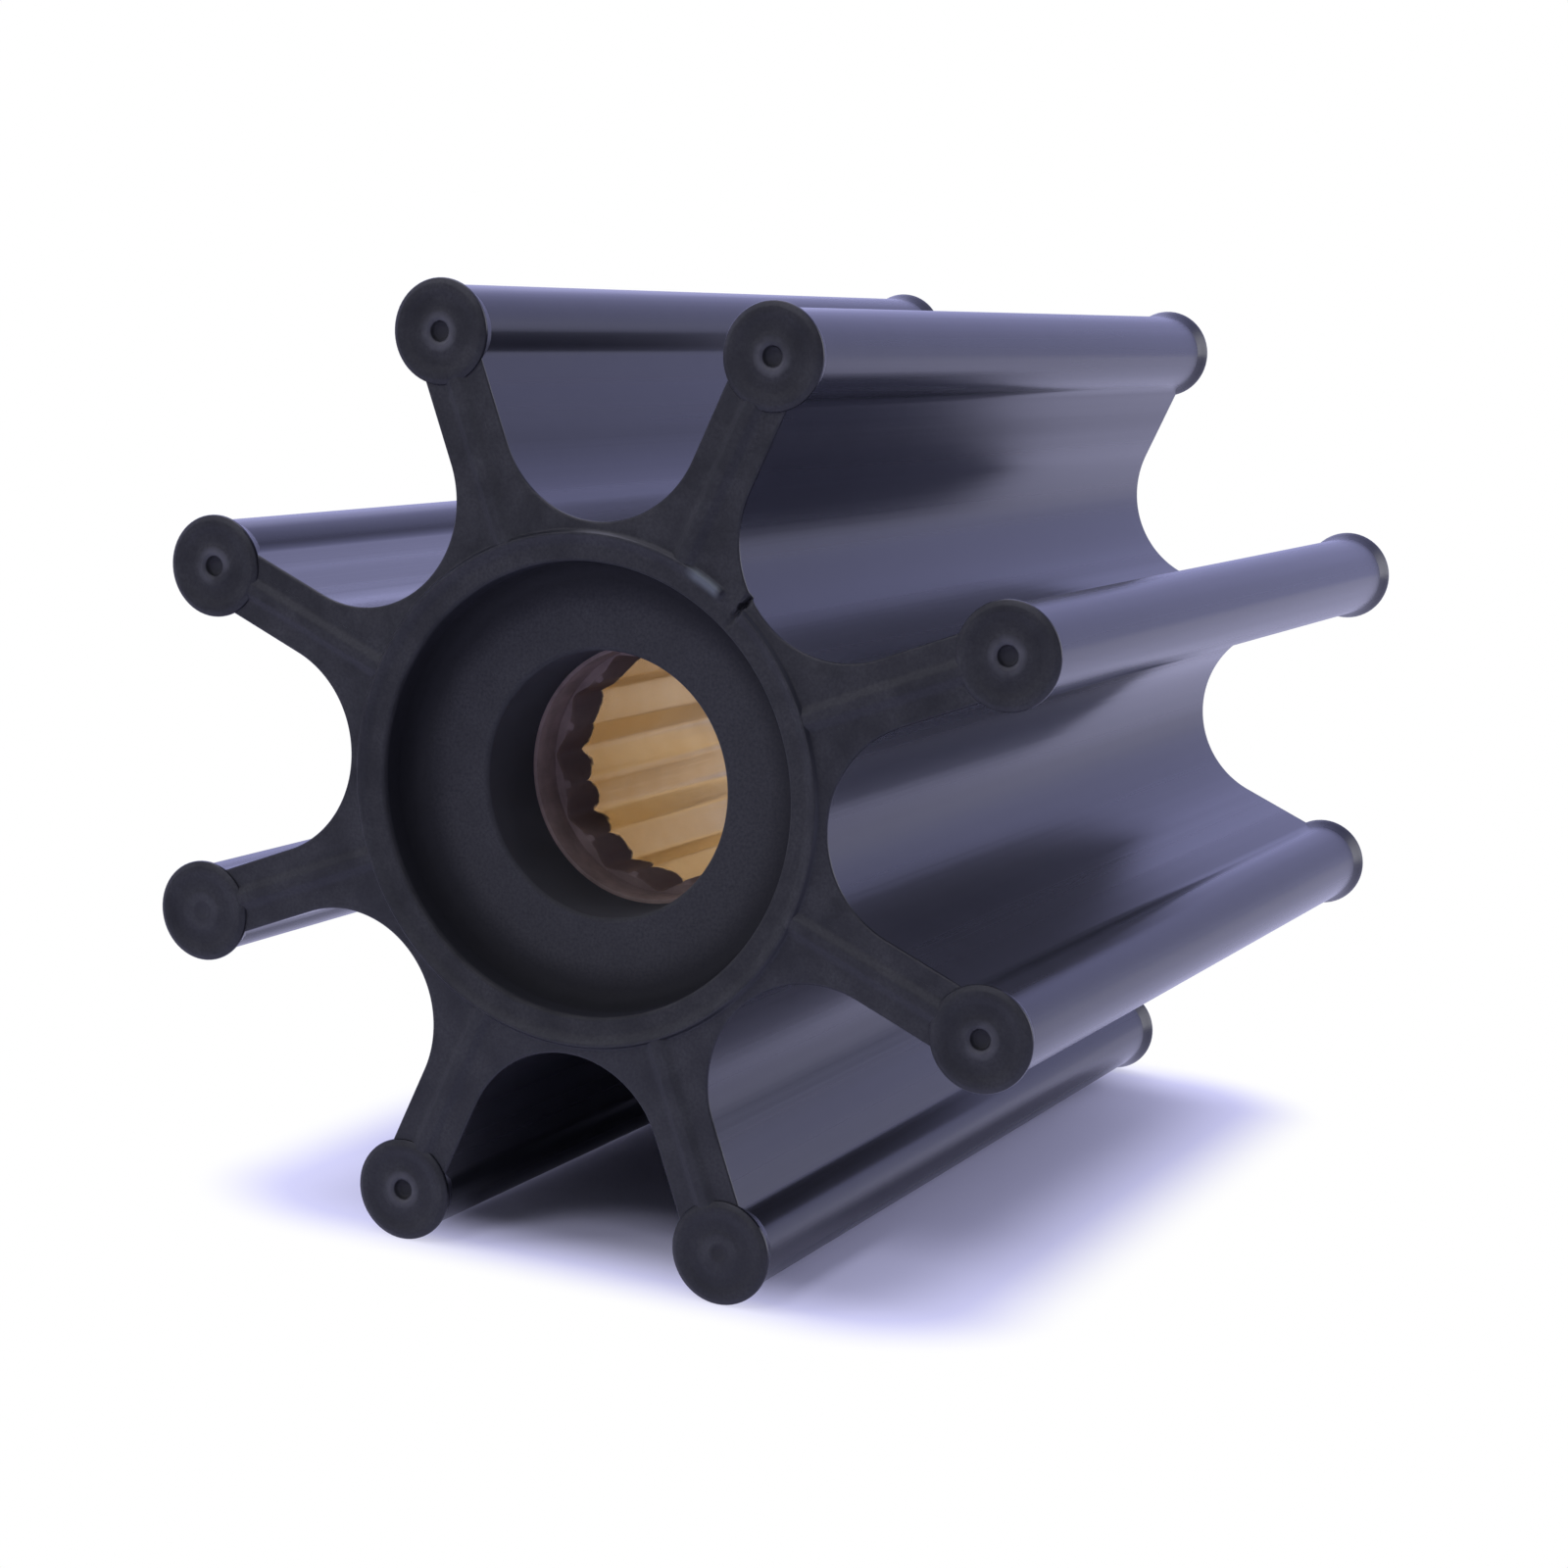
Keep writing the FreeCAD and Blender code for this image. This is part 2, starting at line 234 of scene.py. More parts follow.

# Brass and its brown film, which ends in lobes of painted shade between the crests and is shorter at the
# rear.
# The darker patches in the grooves are painted shade too. The metallic and roughness pairs hold the value
# of bare brass and that of the film.
BRASS_SHADES = ((0.90, 0.70, 0.36), (0.97, 0.80, 0.47))
BRASS_METALLIC = (0.88, 0.0)
BRASS_ROUGHNESS = (0.27, 0.60)
FILM_SHADES = ((0.155, 0.112, 0.100), (0.215, 0.158, 0.142))
FILM_RANGE = (0.35, 0.65)
FILM_REACH = 14.0
FILM_LOBE = 1.9
FILM_LOBE_EDGE = (0.0, 0.62)
FILM_DIP = 0.6
FILM_DIP_EDGE = (0.8, 1.0)
FILM_RAGGED = 0.4
FILM_RAGGED_RANGE = (0.25, 0.75)
FILM_EDGE = (-0.12, 0.14)
FILM_MIDDLE = (-1.0, 1.0)
FILM_SHORTER = 4.0
# Painted shade in the grooves from where the splines start, laid in patches on the film.
GROOVE_SHADE_COLOUR = (0.115, 0.074, 0.070)
GROOVE_SHADE_START = (SPLINE_START - 0.3, SPLINE_START + 0.5)
GROOVE_SHADE_ACROSS = ((0.15, 0.7), (0.35, 1.0))
GROOVE_SHADE_PATCHES = (NOISE_RANGE, (0.7, 1.0))

# The floor. Round the object it takes the shadow, and beyond that it fades to white. Mirror rays find it
# violet there, and brighter or darker by place.
FLOOR_Z = -BODY_HIGH.z
FLOOR_HALF = 4000
FLOOR_COLOUR = (0.80, 0.80, 1.0)
HALO_COLOUR = (0.68, 0.68, 1.0)
HALO_RANGE = (0.5, 1.0)
WHITE = (1, 1, 1)
SHADOW_HALF_X = 17
SHADOW_FADE_X = 14
SHADOW_HALF_Y = 28
SHADOW_FADE_Y = 12
FLOOR_GLOW_Y = ((-120, 20), (0.4, 1.35))
FLOOR_GLOW_X = ((-200, -20), (0.6, 1.0))

# The world. A pair of pairs holds the limits of a part of the ray's direction, and the values at them.
DIRECTION = (-1.0, 1.0)
SKY_SHADES = [
    (0.0, (0.60, 0.60, 0.68)),
    (0.35, (0.50, 0.50, 0.60)),
    (0.6, (0.72, 0.72, 0.92)),
    (1.0, (0.80, 0.80, 1.0)),
]
SKY_AWAY = ((-1.0, 0.3), (0.75, 1.35))
SKY_SIDES = ((-0.5, 0.4), (0.2, 1.9))
SKY_LEAST = 0.55
MIRROR_SHADES = [
    (0.0, (0.06, 0.06, 0.07)),
    (0.2, (0.085, 0.086, 0.105)),
    (0.69, (0.35, 0.36, 0.62)),
    (1.0, (0.42, 0.43, 0.78)),
]
MIRROR_BEHIND = ((-0.3, 0.5), (0.0, 0.6))
MIRROR_LEAN = ((-0.5, 0.5), (-0.55, 0.62))
MIRROR_RANGE = (-0.75, 0.9)
MIRROR_STRENGTH = (1.78, 3.4)
PANEL_COLOUR = (0.90, 0.90, 1.0)
PANEL_X = (0.45, 0.75)
PANEL_Y = (-0.05, 0.2)

# Each lamp's name, position in metres, size in metres, power in watts, colour, and whether mirror rays
# see it.
LAMPS = [
    ("key", (-0.38, -0.26, 0.30), 0.35, 1.3, (0.96, 0.96, 1.0), False),
    ("fill", (-0.03, -0.42, 0.40), 0.14, 0.65, (0.86, 0.86, 1.0), True),
    ("top", (-0.10, 0.02, 0.55), 0.45, 1.1, (1.0, 0.98, 1.0), True),
    ("back", (-0.45, 0.60, 0.40), 0.5, 0.3, (0.70, 0.70, 1.0), True),
]

# Camera.
LENS = 74.506
SENSOR = 36.0
CAMERA_AZIMUTH = 24.4117
CAMERA_ELEVATION = 9.2713
CAMERA_ROLL = 3.5043
CAMERA_DISTANCE = 229.62
CAMERA_RIGHT = -2.650
CAMERA_UP = -4.101
CAMERA_CLIP = 5


def polar(radius, degrees):
    """A point of the plane at a radius and an angle."""
    return Vector((radius * math.cos(math.radians(degrees)), radius * math.sin(math.radians(degrees))))


def direction(vector):
    """Angle of a plane vector."""
    return math.degrees(math.atan2(vector.y, vector.x))


def spin(vector, degrees):
    """A plane vector turned about the origin."""
    return polar(vector.length, direction(vector) + degrees)


def arc(centre, radius, start, end, step=ARC_STEP):
    """Points on an arc between two angles, both ends included."""
    steps = max(2, math.ceil(abs(end - start) / step))
    return [centre + polar(radius, start + (end - start) * index / steps) for index in range(steps + 1)]


def arc_between(centre, radius, first, last, step):
    """Points on the shorter arc between two of its points, both included."""
    start = direction(first - centre)
    sweep = (direction(last - centre) - start + 180) % 360 - 180
    return arc(centre, radius, start, start + sweep, step)


def rounded(corners):
    """Points along a path of (x, y, radius) corners, with an arc at each inner corner that has a radius."""
    points = []
    last = len(corners) - 1
    for index, (x, y, radius) in enumerate(corners):
        corner = Vector((x, y))
        if radius == 0 or index in (0, last):
            points.append(corner)
            continue
        before = (Vector(corners[index - 1][:2]) - corner).normalized()
        after = (Vector(corners[index + 1][:2]) - corner).normalized()
        half = before.angle(after) / 2
        centre = corner + (before + after).normalized() * (radius / math.sin(half))
        run = radius / math.tan(half)
        points.extend(arc_between(centre, radius, corner + before * run, corner + after * run, CORNER_STEP))
    return points


def bridge(bm, first, second):
    """Quads, or triangles at a pole, between two rings of vertices."""
    count = max(len(first), len(second))
    for index in range(count):
        after = (index + 1) % count
        corners = [first[index % len(first)], first[after % len(first)],
                   second[after % len(second)], second[index % len(second)]]
        unique = []
        for vert in corners:
            if vert not in unique:
                unique.append(vert)
        if len(unique) > 2:
            bm.faces.new(unique)


def turned_row(bm, centre, radius, y, angles):
    """A ring of vertices about an axis along Y through centre, given as (x, z)."""
    spots = [centre + polar(radius, angle) for angle in angles]
    return [bm.verts.new((spot.x, y, spot.y)) for spot in spots]


def lathe(bm, path, centre, angles):
    """Turn a path of (radius, y) points. A point on the axis gives one vertex."""
    rows = [turned_row(bm, centre, radius, y, angles if radius > ON_AXIS else (0,)) for radius, y in path]
    for first, second in zip(rows, rows[1:]):
        bridge(bm, first, second)
    return rows


def even_angles(count):
    """Angles spread evenly round a circle."""
    return [360 * index / count for index in range(count)]


def hub_angles():
    """Angles round the hub, closer together at the nick and the torn lip."""
    coarse = [angle for angle in even_angles(round(360 / HUB_STEP)) if not FINE_START < angle < FINE_END]
    fine_steps = round((FINE_END - FINE_START) / NICK_STEP)
    return sorted(coarse + [FINE_START + NICK_STEP * step for step in range(fine_steps + 1)])


def vane_outline():
    """Lower side of a vane that lies along +X, from the middle of the valley to the tip.

    Each entry is a point and its outward direction.
    """
    half_pitch = math.radians(PITCH / 2)
    valley_r = (HUB_R * math.sin(half_pitch) - WEB) / (1 - math.sin(half_pitch))
    valley = polar(HUB_R + valley_r, -PITCH / 2)
    entries = []
    for point in arc(valley, valley_r, 180 - PITCH / 2, 90, VALLEY_STEP):
        entries.append((point, (valley - point).normalized()))
    reach = math.sqrt((BULB_R + NECK_R) ** 2 - (WEB + NECK_R) ** 2)
    neck = Vector((TIP_R - reach, -WEB - NECK_R))
    turn = math.degrees(math.atan2(WEB + NECK_R, reach))
    for point in arc(neck, NECK_R, 90, turn):
        entries.append((point, (neck - point).normalized()))
    tip = Vector((TIP_R, 0))
    for point in arc(tip, BULB_R, turn - 180, 0, BULB_STEP)[1:]:
        entries.append((point, (point - tip).normalized()))
    return entries


def star_outline():
    """The whole star's outline, one vane after another."""
    lower = vane_outline()
    upper = [(Vector((point.x, -point.y)), Vector((out.x, -out.y))) for point, out in lower[-2:0:-1]]
    outline = []
    for vane in range(VANES):
        angle = FIRST_VANE + PITCH * vane
        outline.extend((spin(point, angle), spin(out, angle)) for point, out in lower + upper)
    return outline


def end_rows(bm, outline, side):
    """The rounded edge at one end of the star: rows from the end face to the long faces."""
    rows = []
    for tilt in EDGE_TILTS:
        inset = EDGE_R * (1 - math.cos(math.radians(tilt)))
        y = side * (FACE - EDGE_R * (1 - math.sin(math.radians(tilt))))
        row = []
        for point, out in outline:
            spot = point - out * inset
            row.append(bm.verts.new((spot.x, y, spot.y)))
        rows.append(row)
    return rows


def hub_end_path():
    """Path of (radius, y) from the bush's seat by the opening, the recess and the lip to the end face."""
    floor = HALF - RECESS
    corners = [
        (SEAT_R, SEAT_END, 0),
        (THROAT_R, SEAT_END, 0),
        (THROAT_R, floor, THROAT_EDGE_R),
        (LAND_R, floor, RECESS_R),
        (LAND_R, FACE, LAND_EDGE_R),
        (LIP_START, FACE, LIP_FOOT_IN_R),
        (LIP_TOP_IN, HALF, LIP_TOP_IN_R),
        (LIP_TOP_OUT, HALF, LIP_TOP_OUT_R),
        (LIP_END, FACE, LIP_FOOT_OUT_R),
        (HUB_FACE_R, FACE, 0),
    ]
    return rounded(corners)


def loop_edges(bm, row):
    """The edges that join a closed row of vertices."""
    edges = []
    for first, second in zip(row, row[1:] + row[:1]):
        edges.append(bm.edges.get((first, second)) or bm.edges.new((first, second)))
    return edges


def add_cup(bm, vane, side):
    """The blind hole in the star's end under a disc. Returns its rim."""
    centre = polar(TIP_R, FIRST_VANE + PITCH * vane)
    path = [(CUP_R, side * FACE), (CUP_R, side * (HALF - CUP_DEPTH)), (0, side * (HALF - CUP_DEPTH))]
    return lathe(bm, path, centre, even_angles(CUP_SEGMENTS))[0]


def nick_depth(x, z):
    """Depth of the nick at a place of the front end face."""
    place = spin(Vector((x, z)), -NICK_ANGLE)
    if place.x < NICK_START:
        return 0
    across = abs(place.y + NICK_SWAY * math.sin(place.x * NICK_SWAY_RATE)) / NICK_HALF
    return NICK_DEPTH * max(1 - across, 0) * min((place.x - NICK_START) / NICK_RUN_IN, 1)


def lip_share(degrees):
    """Share of the lip's height that is left at an angle."""
    if not TEAR_START < degrees < TEAR_END:
        return 1
    inside = min(degrees - TEAR_START, TEAR_END - degrees)
    return 1 - TORN_SHARE * min(inside / TEAR_FADE, 1)


def wear_front(bm):
    """Tear the lip beside the nick and cut the nick into the front end."""
    for vert in bm.verts:
        if vert.co.y > -FACE + WEAR_DEPTH:
            continue
        radius = math.hypot(vert.co.x, vert.co.z)
        if radius > WEAR_R:
            continue
        proud = -vert.co.y - FACE
        if proud > 0:
            degrees = math.degrees(math.atan2(vert.co.z, vert.co.x))
            vert.co.y = -FACE - proud * lip_share(degrees)
        vert.co.y += nick_depth(vert.co.x, vert.co.z)


def add_star(bm):
    """The hub, the vanes with their bulbs and the valleys between them, as one closed skin."""
    outline = star_outline()
    front, rear = end_rows(bm, outline, -1), end_rows(bm, outline, 1)
    rows = front + [[bm.verts.new((point.x, 0, point.y)) for point, out in outline]] + rear[::-1]
    for first, second in zip(rows, rows[1:]):
        bridge(bm, first, second)
    angles = hub_angles()
    seats = []
    for side, edge_row in ((-1, front[0]), (1, rear[0])):
        path = [(radius, side * y) for radius, y in hub_end_path()]
        turned = lathe(bm, path, AXIS, angles)
        seats.append(turned[0])
        rings = [edge_row, turned[-1]] + [add_cup(bm, vane, side) for vane in range(VANES)]
        edges = [edge for ring in rings for edge in loop_edges(bm, ring)]
        bmesh.ops.triangle_fill(bm, use_beauty=True, use_dissolve=False, edges=edges, normal=(0, side, 0))
    bridge(bm, seats[0], seats[1])
    wear_front(bm)


def disc_path(middle):
    """Path of a disc, (radius, depth from its face), from the axis by rim and flare to the stub's end."""
    path = rounded(middle + DISH + DISC_EDGE + [BELOW_RIM])[:-1]
    start = Vector((DISC_R, RIM))
    end = Vector((BULB_R - FLARE_SINK, FLARE_END))
    chord = end - start
    rise = math.sqrt(FLARE_R ** 2 - (chord.length / 2) ** 2)
    centre = (start + end) / 2 + Vector((chord.y, -chord.x)).normalized() * rise
    path.extend(arc_between(centre, FLARE_R, start, end, FLARE_STEP)[1:])
    path.extend(Vector(point) for point in ((STUB_R, FLARE_END), (STUB_R, STUB_END), (0, STUB_END)))
    return path


def add_discs(bm):
    """The disc and flare at each end of every bulb."""
    angles = even_angles(DISC_SEGMENTS)
    for vane in range(VANES):
        centre = polar(TIP_R, FIRST_VANE + PITCH * vane)
        for side in (-1, 1):
            closed_hole = side < 0 and vane in CLOSED_HOLES
            profile = disc_path(CLOSED_MIDDLE if closed_hole else OPEN_MIDDLE)
            lathe(bm, [(radius, side * (HALF - depth)) for radius, depth in profile], centre, angles)


def add_ribs(bm):
    """The rounded bead along the middle of each vane's end faces, from the lip to the disc."""
    half = [
        (-RIB_HALF - RIB_SKIRT, -RIB_SKIRT, 0),
        (-RIB_HALF - RIB_SKIRT, SKIN, 0),
        (-RIB_HALF, SKIN, RIB_FOOT_R),
        (-RIB_TOP, RIB_HEIGHT, RIB_TOP_R),
    ]
    section = rounded(half + [(-across, up, radius) for across, up, radius in half[::-1]])
    for vane in range(VANES):
        angle = FIRST_VANE + PITCH * vane
        for side in (-1, 1):
            rows = []
            for along in (RIB_START, RIB_END):
                row = []
                for across, up in section:
                    spot = spin(Vector((along, across)), angle)
                    row.append(bm.verts.new((spot.x, side * (FACE + up), spot.y)))
                rows.append(row)
            bridge(bm, rows[0], rows[1])
            bm.faces.new(rows[0])
            bm.faces.new(rows[1])


def finish_mesh(bm, name, material):
    """Make an object of a mesh drawn in millimetres."""
    bmesh.ops.recalc_face_normals(bm, faces=bm.faces)
    bmesh.ops.scale(bm, vec=(MM, MM, MM), verts=bm.verts)
    mesh = bpy.data.meshes.new(name)
    bm.to_mesh(mesh)
    bm.free()
    mesh.shade_smooth()
    mesh.set_sharp_from_angle(angle=math.radians(SHARP_ANGLE))
    mesh.materials.append(material)
    piece = bpy.data.objects.new(name, mesh)
    bpy.context.scene.collection.objects.link(piece)
    weighted = piece.modifiers.new("weighted", "WEIGHTED_NORMAL")
    weighted.keep_sharp = True
    return piece


def spline_radius(degrees):
    """Radius of the splined bore at an angle. Grooves lie at 0 degrees and every pitch from there."""
    pitch = 360 / SPLINES
    offset = abs((degrees + pitch / 2) % pitch - pitch / 2) / (pitch / 2)
    share = min(max((offset - FLAT_SHARE) / (1 - 2 * FLAT_SHARE), 0), 1)
    return GROOVE_R + (CREST_R - GROOVE_R) * share


def spline_end_radius(degrees):
    """Radius of the splined bore at its very ends, where the crests are chamfered."""
    return max(spline_radius(degrees), CREST_R + SPLINE_CHAMFER)


def bore_row(bm, radius_at, y):
    """A ring of vertices whose radius goes by the angle."""
    spots = [polar(radius_at(angle), angle) for angle in even_angles(BUSH_SEGMENTS)]
    return [bm.verts.new((spot.x, y, spot.y)) for spot in spots]


def add_bush(bm):
    """Brass bush: plain outside, a plain bore at each end and splines between."""
    spline_end = SEAT_END - RELIEF_LENGTH
    plain_path = [
        (SEAT_R, SEAT_END - BUSH_CHAMFER),
        (SEAT_R - BUSH_CHAMFER, SEAT_END),
        (RELIEF_R + MOUTH_CUT, SEAT_END),
        (RELIEF_R + MOUTH_MIDDLE, SEAT_END - MOUTH_MIDDLE),
        (RELIEF_R, SEAT_END - MOUTH_CUT),
        (RELIEF_R, spline_end),
    ]
    angles = even_angles(BUSH_SEGMENTS)
    ends = []
    for side in (-1, 1):
        end = [turned_row(bm, AXIS, radius, side * y, angles) for radius, y in plain_path]
        end.append(bore_row(bm, spline_end_radius, side * spline_end))
        end.append(bore_row(bm, spline_radius, side * (spline_end - SPLINE_CHAMFER)))
        ends.append(end)
    loop = ends[0] + ends[1][::-1]
    for first, second in zip(loop, loop[1:] + loop[:1]):
        bridge(bm, first, second)


class Nodes:
    """Shorthand for building a node tree. From math on, each method adds nodes and returns their result."""

    def __init__(self, tree):
        self.tree = tree
        tree.nodes.clear()

    def add(self, kind, **settings):
        """A new node with the given settings."""
        item = self.tree.nodes.new(kind)
        for name, value in settings.items():
            setattr(item, name, value)
        return item

    def link(self, source, target):
        """Join a result to an input."""
        self.tree.links.new(source, target)

    def feed(self, value, target):
        """Give an input a number, a colour or another node's result."""
        if isinstance(value, (int, float)):
            target.default_value = value
        elif isinstance(value, tuple):
            target.default_value = (*value, 1)
        else:
            self.link(value, target)

    def math(self, operation, first, second=0.0):
        """One step of arithmetic."""
        item = self.add("ShaderNodeMath", operation=operation)
        self.feed(first, item.inputs[0])
        self.feed(second, item.inputs[1])
        return item.outputs[0]

    def product(self, *values):
        """All values multiplied, from left to right."""
        total = values[0]
        for value in values[1:]:
            total = self.math("MULTIPLY", total, value)
        return total

    def length(self, first, second):
        """Length of a plane vector."""
        squares = self.math("ADD", self.product(first, first), self.product(second, second))
        return self.math("SQRT", squares)

    def split(self, vector):
        """The three parts of a vector."""
        item = self.add("ShaderNodeSeparateXYZ")
        self.link(vector, item.inputs[0])
        return item.outputs[:]

    def noise(self, vector, scale, detail):
        """Noise round 0.5. A scale of three numbers stretches it."""
        if isinstance(scale, tuple):
            stretch = self.add("ShaderNodeMapping")
            stretch.inputs["Scale"].default_value = scale
            self.link(vector, stretch.inputs["Vector"])
            vector, scale = stretch.outputs["Vector"], 1.0
        item = self.add("ShaderNodeTexNoise")
        item.inputs["Scale"].default_value = scale
        item.inputs["Detail"].default_value = detail
        item.inputs["Roughness"].default_value = NOISE_ROUGHNESS
        self.link(vector, item.inputs["Vector"])
        return item.outputs["Fac"]

    def ramp(self, factor, stops):
        """A colour by factor, from stops of (position, colour)."""
        item = self.add("ShaderNodeValToRGB")
        elements = item.color_ramp.elements
        while len(elements) < len(stops):
            elements.new(0.5)
        for element, (position, colour) in zip(elements, stops):
            element.position = position
            element.color = (*colour, 1)
        self.link(factor, item.inputs["Fac"])
        return item.outputs["Color"]

    def shades(self, factor, pair, limits=NOISE_RANGE):
        """A colour between two shades, the first below the limits of factor and the second above them."""
        return self.ramp(factor, list(zip(limits, pair)))

    def span(self, value, limits, results):
        """A value that goes evenly from the first result to the second between two limits."""
        item = self.add("ShaderNodeMapRange")
        for name, number in zip(("From Min", "From Max", "To Min", "To Max"), (*limits, *results)):
            item.inputs[name].default_value = number
        self.link(value, item.inputs["Value"])
        return item.outputs["Result"]

    def fade(self, value, limits, results):
        """As span, for a value in metres and limits in millimetres."""
        return self.span(value, [limit * MM for limit in limits], results)

    def mix(self, factor, first, second):
        """A blend of two colours."""
        item = self.add("ShaderNodeMix", data_type="RGBA")
        colours = [socket for socket in item.inputs if socket.type == "RGBA"]
        self.link(factor, item.inputs[0])
        self.feed(first, colours[0])
        self.feed(second, colours[1])
        return next(socket for socket in item.outputs if socket.type == "RGBA")

    def mix_numbers(self, factor, first, second):
        """A blend of two numbers."""
        item = self.add("ShaderNodeMix", data_type="FLOAT")
        self.link(factor, item.inputs[0])
        self.link(first, item.inputs[2])
        self.link(second, item.inputs[3])
        return item.outputs[0]

    def mix_shaders(self, factor, first, second):
        """A blend of two shaders' results."""
        item = self.add("ShaderNodeMixShader")
        self.link(factor, item.inputs[0])
        self.link(first, item.inputs[1])
        self.link(second, item.inputs[2])
        return item.outputs[0]

    def bump(self, height, strength):
        """The surface's direction with a relief of the given height."""
        item = self.add("ShaderNodeBump")
        item.inputs["Strength"].default_value = strength
        item.inputs["Distance"].default_value = BUMP_DISTANCE * MM
        self.link(height, item.inputs["Height"])
        return item.outputs["Normal"]


def new_material(name):
    """A material with an empty node tree, its shader and its output."""
    material = bpy.data.materials.new(name)
    material.use_nodes = True
    nodes = Nodes(material.node_tree)
    shader = nodes.add("ShaderNodeBsdfPrincipled")
    output = nodes.add("ShaderNodeOutputMaterial")
    nodes.link(shader.outputs[0], output.inputs["Surface"])
    return material, nodes, shader


def folded_angle(nodes, x, z, count):
    """Angle about the Y axis, in parts of a turn cut into count, from -0.5 to 0.5 across each part."""
    turn = nodes.math("DIVIDE", nodes.math("ARCTAN2", z, x), 2 * math.pi / count)
    return nodes.math("SUBTRACT", nodes.math("FRACT", nodes.math("ADD", turn, count)), 0.5)


def disc_distance(nodes, x, z, radius):
    """Distance in metres from the axis of the nearest bulb."""
    angle = nodes.product(folded_angle(nodes, x, z, VANES), math.radians(PITCH))
    along = nodes.math("SUBTRACT", nodes.product(radius, nodes.math("COSINE", angle)), TIP_R * MM)
    across = nodes.product(radius, nodes.math("SINE", angle))
    return nodes.length(along, across)


class RubberLook:
    """Measures, masks and noises of the star, and what is made of them. A mask goes from 0 to 1."""

    def __init__(self, nodes):
        self.nodes = nodes
        coordinates = nodes.add("ShaderNodeTexCoord")
        place = coordinates.outputs["Object"]
        x, self.y, z = nodes.split(place)
        facing_y = nodes.split(coordinates.outputs["Normal"])[1]
        self.radius = nodes.length(x, z)
        self.degrees = nodes.product(nodes.math("ARCTAN2", z, x), 180 / math.pi)
        self.from_pin = disc_distance(nodes, x, z, self.radius)
        self.end_face = nodes.span(nodes.math("ABSOLUTE", facing_y), FACE_TILT, RISE)
        self.inside = nodes.fade(self.radius, INSIDE_EDGE, FALL)
        self.in_pin = nodes.fade(self.from_pin, PIN_EDGE, FALL)
        open_matt = nodes.math("MAXIMUM", self.end_face, self.inside)
        self.matt = nodes.math("MAXIMUM", open_matt, self.in_pin)
        self.streaks = nodes.noise(place, *STREAKS)
        self.broad = nodes.noise(place, *BROAD_STREAKS)
        self.grain = nodes.noise(place, *GRAIN)
        self.mottle = nodes.noise(place, *MOTTLE)

    def recess(self):
        """The floor and wall of the recess."""
        nodes = self.nodes
        return nodes.product(self.inside, nodes.fade(nodes.math("ABSOLUTE", self.y), RECESS_MOUTH, FALL))

    def dish_shade(self):
        """Painted shade in the shallow dish round each disc's middle."""
        nodes = self.nodes
        inner = nodes.fade(self.from_pin, DISH_INNER, RISE)
        outer = nodes.fade(self.from_pin, DISH_OUTER, (DISH_SHADE_SHARE, 0.0))
        return nodes.product(nodes.product(inner, outer), self.end_face)

    def worn_ring(self):
        """The pale worn ring round each pin hole, weaker at the front's closed holes."""
        nodes = self.nodes
        ring = nodes.product(nodes.fade(self.from_pin, RING_OUTER, FALL), self.end_face)
        ring = nodes.product(ring, nodes.fade(self.from_pin, RING_INNER, (RING_INNER_SHARE, 1.0)))
        front_side = nodes.math("LESS_THAN", self.y, 0.0)
        for vane in CLOSED_HOLES:
            turned = nodes.math("ADD", self.degrees, 360 - FIRST_VANE - PITCH * vane)
            loss = nodes.span(nodes.math("ABSOLUTE", turned), CLOSED_SECTOR, (CLOSED_RING_LOSS, 0.0))
            closed = nodes.product(loss, front_side)
            ring = nodes.product(ring, nodes.math("SUBTRACT", 1.0, closed))
        return nodes.product(ring, nodes.span(self.mottle, WORN_RANGE, (RING_LEAST, 1.0)))

    def scuff_highlight(self):
        """The pale stretch of the front lip beside the tear: scuffed rubber with a painted highlight."""
        nodes = self.nodes
        start = nodes.span(self.degrees, SCUFF_HIGHLIGHT_START, RISE)
        end = nodes.span(self.degrees, SCUFF_HIGHLIGHT_END, FALL)
        front = nodes.fade(self.y, SCUFF_HIGHLIGHT_Y, RISE)
        return nodes.product(start, end, front, nodes.fade(self.radius, SCUFF_HIGHLIGHT_EDGE, FALL))

    def colour(self):
        """Base colour, with each mark laid over the ones before it."""
        nodes = self.nodes
        sides = nodes.shades(self.mottle, SIDE_SHADES)
        ends = nodes.shades(self.mottle, END_SHADES)
        colour = nodes.mix(self.matt, sides, ends)
        recess = self.recess()
        # Painted shade in the recess, growing towards its outer wall.
        corner = nodes.fade(self.radius, CORNER_SHADE_EDGE, (0.0, CORNER_SHADE_SHARE))
        speckle = nodes.span(self.grain, NOISE_RANGE, (0.0, SPECKLE_SHARE))
        marks = [
            (nodes.product(recess, RECESS_SHARE), RECESS_COLOUR),
            (nodes.product(recess, corner), CORNER_SHADE_COLOUR),
            (nodes.product(speckle, self.end_face), SPECKLE_COLOUR),
            (self.dish_shade(), DISH_SHADE_COLOUR),
            (self.worn_ring(), RING_COLOUR),
            (self.in_pin, PIN_COLOUR),
            (self.scuff_highlight(), SCUFF_HIGHLIGHT_COLOUR),
        ]
        for mask, mark_colour in marks:
            colour = nodes.mix(mask, colour, mark_colour)
        return colour

    def roughness(self):
        """Satin along the vanes, matt at the ends, and dull in the recess and the pin holes."""
        nodes = self.nodes
        sides = nodes.span(self.broad, NOISE_RANGE, SIDE_ROUGHNESS)
        ends = nodes.span(self.mottle, NOISE_RANGE, END_ROUGHNESS)
        hidden = nodes.math("MAXIMUM", self.inside, self.in_pin)
        ends = nodes.math("ADD", ends, nodes.product(hidden, HIDDEN_ROUGHER))
        return nodes.mix_numbers(self.matt, sides, ends)

